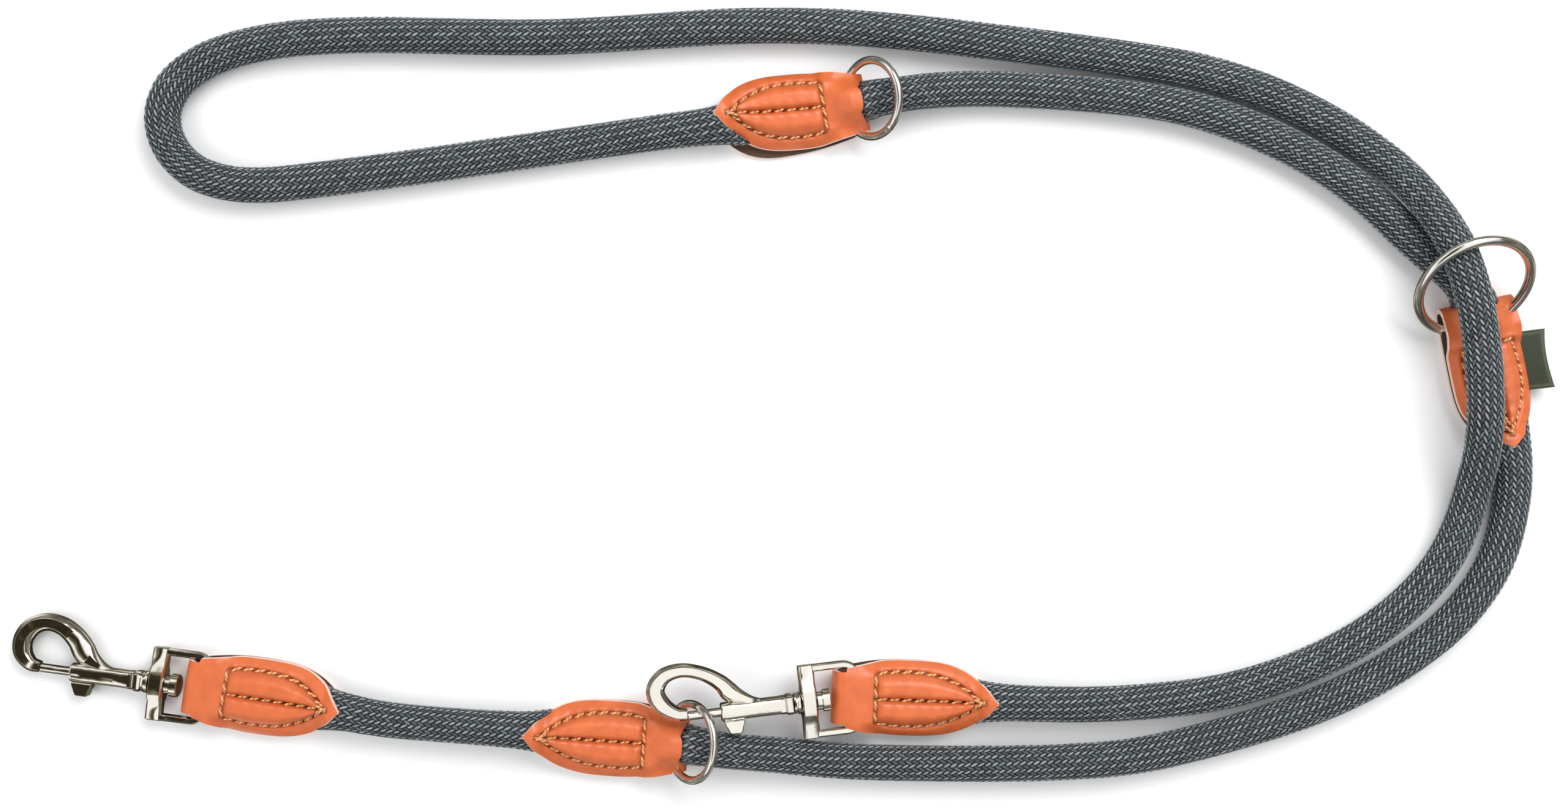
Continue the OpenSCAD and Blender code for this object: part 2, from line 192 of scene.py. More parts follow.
class Nodes:
    """Shortcuts for building a node tree."""

    def __init__(self, tree, place):
        self.tree = tree
        self.place = self.add("ShaderNodeTexCoord").outputs[place]

    def add(self, kind, settings=None, **inputs):
        node = self.tree.nodes.new(kind)
        for key, value in (settings or {}).items():
            setattr(node, key, value)
        for key, value in inputs.items():
            self.feed(node.inputs[key.replace("_", " ")], value)
        return node

    def feed(self, socket, value):
        if isinstance(value, bpy.types.NodeSocket):
            self.tree.links.new(value, socket)
        else:
            socket.default_value = value

    def noise(self, scale, detail=3.0, vector=None):
        return self.add("ShaderNodeTexNoise", Vector=vector or self.place, Scale=scale,
                        Detail=detail).outputs["Fac"]

    def math(self, operation, a, b=0.0):
        node = self.add("ShaderNodeMath", {"operation": operation})
        self.feed(node.inputs[0], a)
        self.feed(node.inputs[1], b)
        return node.outputs[0]

    def spread(self, value, low, high, start=0.0, end=1.0):
        """Maps start..end to low..high."""
        return self.add("ShaderNodeMapRange", Value=value, From_Min=start, From_Max=end,
                        To_Min=low, To_Max=high).outputs["Result"]

    def ramp(self, value, stops):
        node = self.add("ShaderNodeValToRGB", Fac=value)
        while len(node.color_ramp.elements) < len(stops):
            node.color_ramp.elements.new(0.5)
        for element, (at, colour) in zip(node.color_ramp.elements, stops):
            element.position = at
            element.color = (*colour, 1)
        return node.outputs["Color"]

    def mix(self, share, a, b, how="MIX"):
        node = self.add("ShaderNodeMix", {"data_type": "RGBA", "blend_type": how})
        self.feed(node.inputs[0], share)
        self.feed(node.inputs[6], a)
        self.feed(node.inputs[7], b)
        return node.outputs[2]


class Shader(Nodes):
    """A procedural material: a Principled surface and the nodes that feed it."""

    def __init__(self, name):
        self.material = bpy.data.materials.new(name)
        self.material.use_nodes = True
        super().__init__(self.material.node_tree, "Object")
        self.surface = self.tree.nodes["Principled BSDF"]

    def set(self, **inputs):
        for key, value in inputs.items():
            self.feed(self.surface.inputs[key.replace("_", " ")], value)

    def attribute(self, name):
        return self.add("ShaderNodeAttribute", {"attribute_name": name}).outputs["Fac"]

    def bump(self, height, distance, strength=1.0, normal=None):
        node = self.add("ShaderNodeBump", Height=height, Distance=distance, Strength=strength)
        if normal is not None:
            self.feed(node.inputs["Normal"], normal)
        return node.outputs["Normal"]


def yarn_material():
    """Polyester yarn: fine filaments along each float, a little different from strand to strand. Each
    float is painted dark towards its ends and sides as painted shade where it dips under its
    neighbours, and floats of one lean are painted lighter as painted light.
    """
    s = Shader("rope_yarn")
    strand = s.attribute("strand")
    across = s.attribute("across")
    along = s.attribute("along")
    filaments = s.add("ShaderNodeCombineXYZ", X=s.math("MULTIPLY", across, 5.0),
                      Y=s.math("MULTIPLY", along, 0.7), Z=s.math("MULTIPLY", strand, 40.0))
    fibre = s.noise(1.6, 2.0, filaments.outputs["Vector"])
    # The strand value carries each strand's own tone and painted light: floats of one lean sit higher
    # on this ramp.
    tone = s.ramp(strand, [(0.3, (0.030, 0.041, 0.048)), (0.55, (0.095, 0.116, 0.128)),
                           (0.75, (0.290, 0.325, 0.340)), (1.0, (0.430, 0.470, 0.490))])
    lit = s.mix(s.spread(fibre, 0.0, 1.0), (0.45, 0.45, 0.45, 1), (1.5, 1.5, 1.5, 1))
    # Painted shade: each float turns near black towards its ends and sides, where it dips under its
    # neighbours.
    ends = s.math("POWER", s.math("ABSOLUTE", along), 2.0)
    sides = s.math("MULTIPLY", s.math("POWER", s.math("ABSOLUTE", across), 2.0), 0.75)
    edge = s.math("MAXIMUM", ends, sides)
    shaded = s.mix(edge, s.mix(1.0, tone, lit, "MULTIPLY"), (0.006, 0.009, 0.012, 1))
    s.set(Base_Color=shaded, Roughness=s.spread(fibre, 0.36, 0.56), Sheen_Weight=0.25,
          Sheen_Roughness=0.4, Specular_IOR_Level=0.6,
          Normal=s.bump(fibre, 0.00018, 0.8))
    return s.material


def gap_shade_material():
    """The yarn seen in the gaps of the braid, painted near black as painted shade between the floats.
    """
    s = Shader("rope_gaps_painted_shade")
    tone = s.ramp(s.noise(2500.0), [(0.3, (0.004, 0.006, 0.008)), (0.7, (0.014, 0.020, 0.024))])
    s.set(Base_Color=tone, Roughness=0.85, Normal=s.bump(s.noise(3500.0), 0.0002))
    return s.material


def leather_material():
    """Smooth finished leather: fine pores, faint mottling, and painted shade where it sinks at the
    seams and in the needle holes.
    """
    s = Shader("leather_top")
    groove = s.attribute("groove")
    mottle = s.noise(180.0, 4.0)
    tone = s.ramp(mottle, [(0.25, (0.57, 0.114, 0.028)), (0.55, (0.66, 0.140, 0.036)),
                           (0.85, (0.74, 0.168, 0.046))])
    # Painted shade: the leather turns dark brown along the sewn lines and round the needle holes.
    seam_shaded = s.mix(s.spread(groove, 0.0, 0.85), tone, (0.10, 0.016, 0.008, 1))
    pores = s.add("ShaderNodeTexVoronoi", {"feature": "DISTANCE_TO_EDGE"}, Vector=s.place,
                  Scale=2600.0).outputs["Distance"]
    crease = s.noise(700.0, 5.0)
    grain = s.bump(s.math("MINIMUM", pores, 0.12), 0.0002, 0.22)
    s.set(Base_Color=seam_shaded, Roughness=s.spread(mottle, 0.34, 0.46), Coat_Weight=0.25,
          Coat_Roughness=0.30, Specular_IOR_Level=0.45,
          Normal=s.bump(crease, 0.00025, 0.35, grain))
    return s.material


def raw_leather_material(name, dark, light):
    """Cut edge or flesh side: short matt fibres."""
    s = Shader(name)
    fibre = s.noise(2200.0, 6.0)
    s.set(Base_Color=s.ramp(fibre, [(0.3, dark), (0.7, light)]), Roughness=0.85,
          Sheen_Weight=0.3, Normal=s.bump(fibre, 0.0003, 0.7))
    return s.material


def thread_material():
    """Waxed two-ply thread: slanting plies and fine fibres, painted darker in the grooves between the
    plies as painted shade.
    """
    s = Shader("thread")
    ply = s.attribute("ply")
    fibre = s.noise(4000.0, 4.0)
    # Painted shade: the thread is darker in the grooves between its plies and lighter on their crests.
    tone = s.ramp(ply, [(0.0, (0.30, 0.09, 0.022)), (0.35, (0.66, 0.28, 0.085)),
                        (1.0, (0.88, 0.47, 0.180))])
    both = s.math("ADD", s.math("MULTIPLY", ply, 0.8), s.math("MULTIPLY", fibre, 0.2))
    s.set(Base_Color=tone, Roughness=0.5, Sheen_Weight=0.3, Normal=s.bump(both, 0.0002, 0.8))
    return s.material


def ribbon_material():
    """Woven ribbon in plain weave, with a lighter line near its edges."""
    s = Shader("woven_ribbon")
    warp = s.attribute("warp")
    weft = s.attribute("weft")
    weave = s.math("MULTIPLY", s.math("SINE", s.math("MULTIPLY", warp, 22000.0)),
                   s.math("SINE", s.math("MULTIPLY", weft, 22000.0)))
    tone = s.ramp(s.spread(weave, 0.3, 0.7), [(0.2, (0.014, 0.024, 0.007)),
                                              (0.8, (0.034, 0.054, 0.017))])
    border = s.attribute("border")
    s.set(Base_Color=s.mix(border, tone, (0.085, 0.115, 0.045, 1)), Roughness=0.75,
          Sheen_Weight=0.4, Normal=s.bump(weave, 0.00012, 0.7))
    return s.material


def plated_material(name, colour, roughness, waviness):
    """Bright nickel plate over a slightly wavy casting, with fine scuffs."""
    s = Shader(name)
    wave = s.noise(90.0, 2.0)
    scuff = s.noise(1500.0, 6.0)
    tint = s.mix(s.spread(wave, 0.0, 1.0), (*[0.9 * c for c in colour], 1), (*colour, 1))
    s.set(Base_Color=tint, Metallic=1.0,
          Roughness=s.spread(scuff, roughness * 0.6, roughness * 1.6),
          Normal=s.bump(wave, waviness, 0.6, s.bump(scuff, 0.00002, 0.25)))
    return s.material


yarn = yarn_material()
gap_shade_yarn = gap_shade_material()
leather = leather_material()
raw_edge = raw_leather_material("leather_edge", (0.60, 0.36, 0.28), (0.92, 0.70, 0.60))
# The flesh side is painted near black as painted shade, where it lies in the shadow inside the tab.
shaded_flesh_side = raw_leather_material("leather_flesh_painted_shade", (0.06, 0.026, 0.016), (0.14, 0.066, 0.042))
thread = thread_material()
ribbon = ribbon_material()
nickel = plated_material("nickel", (0.76, 0.73, 0.66), 0.10, 0.0012)
ring_steel = plated_material("ring_steel", (0.72, 0.71, 0.68), 0.14, 0.0004)
spring_steel = plated_material("spring_steel", (0.60, 0.60, 0.60), 0.25, 0.0001)

# ---- rope -----------------------------------------------------------------------------

# The rope's route in metres: x, y, z, half width. It is the part's own route, and ROUTE_SHIFT
# brings it to the part's origin.
ROUTE_SHIFT = (-0.0002, 0.0008)
ROUTE = [
    (-0.188, -0.092, 0.006, 0.0084), (-0.158, -0.097, 0.006, 0.008), (-0.146, -0.099, 0.0072, 0.0064),
    (-0.133, -0.1015, 0.0063, 0.006), (-0.087, -0.105, 0.0072, 0.0064), (-0.076, -0.106, 0.006, 0.008),
    (-0.05, -0.1084, 0.0066, 0.0083), (-0.0395, -0.1088, 0.01, 0.0078),
    (-0.029, -0.1096, 0.0108, 0.0066), (-0.019, -0.1113, 0.0102, 0.006),
    (-0.002, -0.1132, 0.0076, 0.006), (0.026, -0.1158, 0.006, 0.006), (0.095, -0.116, 0.006, 0.006),
    (0.125, -0.113, 0.006, 0.006), (0.172, -0.1002, 0.006, 0.006), (0.193, -0.0916, 0.006, 0.006),
    (0.213, -0.08, 0.006, 0.006), (0.2295, -0.066, 0.006, 0.006), (0.2415, -0.0485, 0.006, 0.006),
    (0.247, -0.029, 0.006, 0.006), (0.2472, -0.014, 0.007, 0.0063), (0.2444, 0.001, 0.006, 0.008),
    (0.2394, 0.0215, 0.0064, 0.0083), (0.2368, 0.0293, 0.01, 0.0084), (0.2338, 0.0382, 0.0112, 0.0074),
    (0.2288, 0.0458, 0.0096, 0.0062), (0.222, 0.0532, 0.007, 0.006), (0.213, 0.0615, 0.006, 0.006),
    (0.201, 0.0728, 0.006, 0.006), (0.188, 0.0828, 0.006, 0.006), (0.173, 0.0916, 0.006, 0.006),
    (0.157, 0.0988, 0.006, 0.006), (0.139, 0.1046, 0.006, 0.006), (0.119, 0.1082, 0.006, 0.006),
    (0.072, 0.1114, 0.006, 0.006), (0.052, 0.1106, 0.0076, 0.006), (0.04, 0.1088, 0.0104, 0.006),
    (0.031, 0.1073, 0.0108, 0.0066), (0.0215, 0.1058, 0.01, 0.0078), (0.011, 0.1041, 0.0066, 0.0083),
    (-0.011, 0.1006, 0.006, 0.008), (-0.024, 0.0986, 0.0072, 0.0064), (-0.04, 0.0968, 0.0062, 0.006),
    (-0.127, 0.0845, 0.006, 0.006), (-0.156, 0.0808, 0.006, 0.006), (-0.174, 0.079, 0.006, 0.006),
    (-0.187, 0.0798, 0.006, 0.006), (-0.198, 0.0838, 0.006, 0.006), (-0.2056, 0.0916, 0.006, 0.006),
    (-0.2084, 0.102, 0.006, 0.006), (-0.205, 0.112, 0.006, 0.006), (-0.1966, 0.1194, 0.006, 0.006),
    (-0.1845, 0.1246, 0.006, 0.006), (-0.168, 0.128, 0.006, 0.006), (-0.143, 0.1296, 0.006, 0.006),
    (-0.077, 0.129, 0.006, 0.006), (-0.015, 0.1326, 0.006, 0.006), (0.014, 0.1326, 0.006, 0.006),
    (0.043, 0.1306, 0.006, 0.006), (0.072, 0.1274, 0.006, 0.006), (0.12, 0.1212, 0.006, 0.006),
    (0.1415, 0.1174, 0.006, 0.006), (0.1625, 0.111, 0.006, 0.006), (0.18, 0.103, 0.006, 0.006),
    (0.1954, 0.0936, 0.0066, 0.006), (0.2094, 0.0814, 0.0102, 0.006), (0.219, 0.068, 0.0154, 0.006),
    (0.2244, 0.056, 0.02, 0.006), (0.2284, 0.0415, 0.0224, 0.006), (0.231, 0.0265, 0.0226, 0.006),
    (0.2325, 0.013, 0.0218, 0.006), (0.2334, -0.001, 0.0198, 0.006), (0.2338, -0.012, 0.0152, 0.006),
    (0.2328, -0.024, 0.0092, 0.006), (0.23, -0.036, 0.0064, 0.006), (0.2238, -0.0485, 0.006, 0.006),
    (0.2138, -0.0604, 0.006, 0.006), (0.2014, -0.0706, 0.006, 0.006), (0.187, -0.0792, 0.006, 0.006),
    (0.169, -0.0868, 0.006, 0.006), (0.1485, -0.0924, 0.006, 0.006), (0.124, -0.0955, 0.006, 0.006),
    (0.101, -0.0965, 0.006, 0.006), (0.074, -0.0956, 0.0072, 0.0064), (0.062, -0.0952, 0.006, 0.008),
    (0.031, -0.0942, 0.006, 0.0084),
]
ROPE_DIAMETER = 12.0
# The braid: strands each way, length of one strand's full turn, and float sizes, in mm
STRANDS = 28
LAY_LENGTH = 65.0
FLOAT_HALF_LENGTH = 1.62
FLOAT_HALF_WIDTH = 0.57
GAP_SHARE = 0.955


class Rope:
    """The rope's centre line with its oval section, in millimetres."""

    def __init__(self, rows):
        rows = np.array(rows) * 1000
        rows[:, :2] += np.array(ROUTE_SHIFT) * 1000
        fine = spline(rows, 24)
        run = np.concatenate([[0], np.cumsum(np.linalg.norm(np.diff(fine[:, :3], axis=0), axis=1))])
        self.length = run[-1]
        self.run = np.linspace(0, self.length, int(self.length / 0.5))
        self.rows = np.stack([np.interp(self.run, run, fine[:, c]) for c in range(4)], 1)
        along = unit(np.gradient(self.rows[:, :3], axis=0))
        self.side = unit(np.stack([along[:, 1], -along[:, 0], 0 * along[:, 0]], 1))
        self.up = np.cross(self.side, along)

    def at(self, values, run):
        """A column set of the rope, read at distances run."""
        columns = [np.interp(run, self.run, values[:, c]) for c in range(values.shape[1])]
        return np.stack(columns, -1)

    def surface(self, run, angle, share):
        """Points on the oval at an angle, at a share of the rope's full size."""
        row = self.at(self.rows, run)
        width = row[..., 3:4]
        height = (ROPE_DIAMETER / 2) ** 2 / width
        cos, sin = np.cos(angle)[..., None], np.sin(angle)[..., None]
        out = self.at(self.side, run) * width * cos + self.at(self.up, run) * height * sin
        return row[..., :3] + out * np.asarray(share)[..., None]


def rope_core_tube(rope, press):
    sides, step = 48, 1.0
    runs = np.linspace(0, rope.length, int(rope.length / step))
    angles = np.linspace(0, 2 * math.pi, sides, endpoint=False)
    run, angle = np.meshgrid(runs, angles, indexing="ij")
    points = rope.surface(run, angle, np.full(run.shape, GAP_SHARE))
    points = press(points, rope.at(rope.rows, run)[..., :3])
    faces = loft_faces(len(runs), sides)
    # The core shows through the braid's gaps; its near-black colour is painted shade.
    return make_object("rope", points.reshape(-1, 3) * MM, faces, [gap_shade_yarn])


def twist_at(run):
    """The braid turns slowly about the rope, by a few strands over its length."""
    return 0.5 * np.sin(run / 130.0) + 0.35 * np.sin(run / 47.0 + 1.3)


def braid_floats(rope, hidden, press):
    """Every visible float of a two-over-two-under braid, as one closed pillow each."""
    random = np.random.default_rng(7)
    pitch = LAY_LENGTH / STRANDS
    radius = ROPE_DIAMETER / 2
    lean = math.atan2(2 * math.pi * radius, LAY_LENGTH)
    row, place = np.meshgrid(np.arange(STRANDS), np.arange(int(rope.length / pitch)), indexing="ij")
    row, place = row.ravel(), place.ravel()
    way = np.where(row % 2 == 0, 1, -1)
    run = (place + 0.5 - 0.25 * way) * pitch + random.normal(0, 0.05, row.shape)
    angle = (row + 0.75) / STRANDS * 2 * math.pi + twist_at(run)
    keep = (run > 2) & (run < rope.length - 2) & ~hidden(rope.at(rope.rows, run))
    row, place, way, run, angle = (v[keep] for v in (row, place, way, run, angle))
    strand = (place - way * row // 2) % STRANDS + 31 * (way > 0)
    # Floats of one lean get a higher value, so they are painted lighter than the other lean as painted
    # light; each strand and each float also has its own random tone.
    tone = 0.30 + 0.32 * (way > 0) + 0.20 * random.random(64)[strand]
    tone = tone + 0.18 * random.random(strand.shape)

    a, b = np.meshgrid(np.linspace(-1, 1, 5), np.linspace(-1, 1, 3), indexing="ij")
    a, b = a.ravel(), b.ravel()
    slack = random.normal(1.0, 0.05, (len(run), 1))
    length = FLOAT_HALF_LENGTH * a[None] * slack
    width = FLOAT_HALF_WIDTH * b[None] * (1 - 0.22 * a[None] ** 2)
    round_by = way[:, None] * math.sin(lean) * length + math.cos(lean) * width
    along_by = math.cos(lean) * length - way[:, None] * math.sin(lean) * width
    crest = 0.34 * (1 - 0.75 * a ** 2) * (1 - b ** 2) - 0.16 * b ** 2 - 0.16 * a ** 6
    share = GAP_SHARE + (crest[None] + random.normal(0, 0.02, (len(run), 1))) / radius
    run = run[:, None] + along_by
    points = rope.surface(run, angle[:, None] + round_by / radius, share)
    points = press(points, rope.at(rope.rows, run)[..., :3])

    # Each float has 5 by 3 points; its underside is one face round their rim
    quads = [(3 * i + j, 3 * i + j + 1, 3 * i + j + 4, 3 * i + j + 3)
             for i in range(4) for j in range(2)]
    rim = (0, 3, 6, 9, 12, 13, 14, 11, 8, 5, 2, 1)
    count = len(a)
    faces = []
    for start in range(0, count * len(run), count):
        faces += [tuple(start + k for k in q) for q in quads]
        faces.append(tuple(start + k for k in rim))
    made = make_object("rope_braid", points.reshape(-1, 3) * MM, faces, [yarn])
    add_point_value(made, "strand", np.repeat(tone, count))
    add_point_value(made, "along", np.tile(a, len(run)))
    add_point_value(made, "across", np.tile(b, len(run)))
    return made


rope = Rope(ROUTE)

# ---- leather tabs ---------------------------------------------------------------------

# Leather thickness, the outline's widest place, and the seam, in mm
LEATHER = 1.6
WIDEST_AT = 24.0
WIDEST_HALF = 12.7
SEAM_START = 15.0
STITCH_PITCH = 4.15
# Each tab: x and y of its fold's edge in mm, angle, length, fold width, fold height, sideways
# drift of the upper and of the lower flap's tip, and whether the rope leaves through the fold
TABS = {
    "free_snap": (-201.3, -89.2, -9.6, 54.0, 17.8, 9.6, 0.8, 0.4, False),
    "lower_ring": (-31.2, -109.3, 176.0, 55.0, 17.2, 7.8, 0.0, 0.6, True),
    "big_ring": (235.0, 40.5, -78.0, 50.0, 24.0, 7.8, 0.0, 0.0, True),
    "handle_ring": (29.0, 107.8, 189.0, 51.0, 18.4, 7.8, -3.6, 1.6, True),
    "clipped_snap": (17.3, -92.9, -1.9, 55.6, 17.7, 11.6, 0.0, -0.4, False),
}
# The hollow in the fold where the rope leaves it
NOTCH_DEPTH = 3.2
NOTCH_HALF = 5.2
# How far from a tab's middle line, and how low, the rope's centre lies where it is in the tab
ROPE_REACH = 7
ROPE_TOP = 13


class Tab:
    """One folded leather tab, in its own frame: u from the fold's edge to the tip, v across."""

    def __init__(self, name):
        x, y, turn, self.length, self.fold, self.tall, self.upper, self.lower, self.ring = TABS[name]
        self.name = name
        self.origin = np.array([x, y, 0.0])
        turn = math.radians(turn)
        self.axes = np.array([[math.cos(turn), math.sin(turn), 0],
                              [-math.sin(turn), math.cos(turn), 0], [0, 0, 1]])
        self.seam_end = 0.905 * self.length
        self.stitches = [piece for line in self.seam_lines() for piece in split_line(line)]
        ends = [end for piece in self.stitches for end in (piece[0], piece[-1])]
        self.holes = np.array(ends)

    def seam_lines(self):
        """Paths of (u, v) along every sewn line: both sides, the middle, across, and the tip."""
        us = np.linspace(SEAM_START, self.seam_end - 0.4, 60)
        mid = self.centre(us, self.upper)
        lines = [np.column_stack([us, mid + side * self.seam(us)]) for side in (-1, 1)]
        lines.append(np.column_stack([us[:-3], mid[:-3]]))
        vs = np.linspace(-8.0, 8.0, 20)
        lines.append(np.column_stack([np.full(20, SEAM_START - 0.3), vs + mid[0]]))
        tip = np.linspace(self.seam_end - 3.0, self.seam_end + 1.6, 8)
        skew = self.centre(tip, self.upper)
        lines.append(np.column_stack([tip, skew + np.linspace(1.6, -0.6, 8)]))
        lines.append(np.column_stack([tip, skew + np.linspace(-1.4, 0.9, 8)]))
        return lines

    def hole_distance(self, u, v):
        """Distance to the nearest needle hole."""
        least = np.full(np.shape(u), 9.0)
        for hu, hv in self.holes:
            least = np.minimum(least, np.hypot(u - hu, v - hv))
        return least

    def to_row(self, points):
        return (np.asarray(points, float) @ self.axes + self.origin) * MM

    def from_row(self, points):
        return (np.asarray(points, float) - self.origin) @ self.axes.T

    def half(self, u):
        rise = self.fold / 2 + (WIDEST_HALF - self.fold / 2) * np.sin(
            math.pi / 2 * np.clip(u / WIDEST_AT, 0, 1))
        fall = np.clip((u - WIDEST_AT) / (self.length - WIDEST_AT), 0, 1) ** 3.4
        flare = 0.5 * np.exp(-((u - 1.0) / 2.6) ** 2) if self.ring else 0.0
        return np.maximum(rise + flare - WIDEST_HALF * fall, 0.25)

    def seam(self, u):
        fall = np.clip((u - WIDEST_AT) / (self.seam_end - WIDEST_AT), 0, 1) ** 2.6
        rise = 8.2 + 0.9 * np.sin(math.pi / 2 * np.clip((u - SEAM_START) / 9, 0, 1))
        return rise * (1 - fall)

    def centre(self, u, drift):
        return drift * (np.clip(u, 0, None) / self.length) ** 2

    def notch(self, v):
        """1 where the fold is cut away for the rope, 0 where it is whole."""
        if not self.ring:
            return 0 * v
        return np.exp(-(np.abs(v) / NOTCH_HALF) ** 4.0)

    def front(self, v):
        """Where the fold lies for each v: straight, or hollowed where the rope leaves it."""
        return NOTCH_DEPTH * self.notch(v)

    def bend(self, v):
        """How far the fold's bend reaches back; behind a notch the wall leans the other way."""
        return np.minimum(4.6, self.fold_height(v) / 2) * (1 - 1.35 * self.notch(v))

    def fold_height(self, v):
        if not self.ring:
            return self.tall - 0.8 * (np.abs(v) / (self.fold / 2)) ** 4
        return self.tall + 7.2 * np.exp(-(np.abs(v) / 6.9) ** 3.0)

    def seam_distance(self, u, v):
        """Distance to the nearest sewn line."""
        w = v - self.centre(u, self.upper)
        inside = (u > SEAM_START - 0.6) & (u < self.seam_end + 1.0)
        far = 9.0
        sides = np.where(inside, np.abs(np.abs(w) - self.seam(u)), far)
        middle = np.where(inside, np.abs(w), far)
        row = np.where(np.abs(w) < 8.8, np.abs(u - SEAM_START), far)
        return np.minimum(np.minimum(sides, middle), row)

    def top(self, u, v):
        """Height of the upper flap's outer face."""
        w = v - self.centre(u, self.upper)
        seam = np.maximum(self.seam(u), 0.9)
        t = np.abs(w) / seam
        tip = smoothstep(0.70, 0.95, u / self.length)
        peak = 11.5 + 1.2 * tip
        groove = 9.3 + 3.0 * tip
        edge_in = 7.4 + 4.2 * tip
        rim = 4.4 + 3.8 * tip
        lobe = edge_in + (peak - edge_in) * np.sin(math.pi * np.clip(t, 0, 1)) ** 0.75
        lobe = lobe + (groove - edge_in) * (1 - smoothstep(0.0, 0.5, t))
        lobe = np.minimum(lobe, peak + 0.2)
        share = np.clip((np.abs(w) - seam) / np.maximum(self.half(u) - seam, 1.0), 0, 1)
        margin = edge_in + 0.5 * np.sin(math.pi * share) - (edge_in - rim) * share ** 1.2
        body = np.where(t < 1, lobe, margin)
        over = 13.4 - 4.6 * (w / 9.0) ** 2
        body = body + (over - body) * smoothstep(0.86, 0.95, u / self.length)
        flat = self.fold_height(v) + (10.6 - self.fold_height(v)) * smoothstep(5.0, 15.0, u)
        droop = smoothstep(0.62, 1.05, np.abs(w) / self.half(u)) * smoothstep(8.5, 15.0, u)
        flat = flat - 3.6 * droop
        height = flat + (body - flat) * smoothstep(SEAM_START - 1.6, SEAM_START + 2.2, u)
        sewn = self.seam_distance(u, v)
        pucker = 0.10 * np.sin(2 * math.pi * u / STITCH_PITCH) * np.exp(-((sewn - 1.6) / 1.4) ** 2)
        return height - 0.50 * np.exp(-(sewn / 0.75) ** 2) + pucker

    def squeeze(self, local, room):
        """Presses rope points between the two flaps, with room to spare below the upper one."""
        u, v, z = local[..., 0], local[..., 1], local[..., 2]
        w = v - self.centre(u, self.upper)
        side = 1 - smoothstep(-1.2, 0.0, np.abs(w) - self.half(np.clip(u, 0, self.length)))
        end = 1 - smoothstep(0.0, 2.5, u - self.length)
        start = smoothstep(-5.0, 0.5, u - self.front(v)) if self.ring else smoothstep(3, 4, u)
        ceiling = self.top(np.clip(u, 0, self.length), v) - LEATHER - room
        over = np.maximum(z - ceiling, 0) * side * end * start
        under = np.maximum(LEATHER + 0.1 - z, 0) * side * end * start
        return np.stack([u, v, z - over + under], -1)

    def build(self):
        columns = 64
        share = np.linspace(-1, 1, columns + 1)
        rows = [("low", u) for u in np.linspace(1, 0, 34)[:-1]]
        rows += [("arc", a) for a in np.linspace(0, math.pi, 16)]
        rows += [("top", u) for u in np.linspace(0, 1, 131)[1:]]
        outer = np.zeros((len(rows), columns + 1, 3))
        for i, (kind, value) in enumerate(rows):
            if kind == "arc":
                v = share * self.half(np.zeros(1))
                tall = self.fold_height(v)
                outer[i, :, 0] = self.front(v) + self.bend(v) * (1 - np.sin(value) ** 0.9)
                outer[i, :, 1] = v
                outer[i, :, 2] = tall / 2 * (1 - math.cos(value))
                continue
            start = self.front(share * self.fold / 2) + self.bend(share * self.fold / 2)
            u = start + (self.length - start) * value
            drift = self.upper if kind == "top" else self.lower
            v = share * self.half(u) + self.centre(u, drift)
            outer[i, :, 0] = u
            outer[i, :, 1] = v
            outer[i, :, 2] = self.top(u, v) if kind == "top" else 0.02
        along = np.gradient(outer, axis=0)
        across = np.gradient(outer, axis=1)
        normal = unit(np.cross(along, across) + 1e-9)
        near_edge = smoothstep(0.80, 0.96, np.abs(share))[None, :, None]
        level = np.zeros_like(normal)
        level[..., 2] = np.sign(normal[..., 2])
        flat_rows = np.array([kind != "arc" for kind, _ in rows])[:, None, None]
        normal = np.where(flat_rows, unit(normal + (level - normal) * near_edge), normal)
        inner = outer - LEATHER * normal
        pale = 0.18 + 0.42 * smoothstep(0.72, 0.96, outer[..., 0] / self.length)
        inner[:, 0, 1] -= pale[:, 0]
        inner[:, -1, 1] += pale[:, -1]
        inner[-1, :, 0] += 0.6
        bends = np.array([kind == "arc" for kind, _ in rows])[:, None] & (outer[..., 2] > 4)
        cover = self.top(np.clip(inner[..., 0], 0, self.length), inner[..., 1]) - 0.7
        inner[..., 2] = np.where(bends, np.minimum(inner[..., 2], cover), inner[..., 2])
        return self.shell(outer, inner)

    def shell(self, outer, inner):
        m, n = outer.shape[:2]
        sewn = self.seam_distance(outer[..., 0], outer[..., 1])
        low = outer[..., 2] < 3.0
        hole = self.hole_distance(outer[..., 0], outer[..., 1])
        outer[..., 2] -= np.where(low, 0.0, 0.45 * np.exp(-(hole / 0.7) ** 2))
        points = np.concatenate([outer.reshape(-1, 3), inner.reshape(-1, 3)])
        # Painted shade along the sewn lines and in the needle holes, kept off the lower flap; the
        # leather material darkens by it.
        line = 0.36 * np.exp(-(sewn / 0.6) ** 2) + 0.16 * np.exp(-(sewn / 1.5) ** 2)
        dark = np.maximum(line, np.exp(-(hole / 0.66) ** 2))
        groove = np.where(low, 0.0, dark)
        quads, kinds = sheet_faces(m, n)
        quads = [q[::-1] for q in quads]
        made = make_object(f"{self.name}_leather", self.to_row(points), quads,
                           [leather, raw_edge, shaded_flesh_side], 50, kinds)
        add_point_value(made, "groove", np.concatenate([groove.ravel(), np.zeros(m * n)]))
        return made

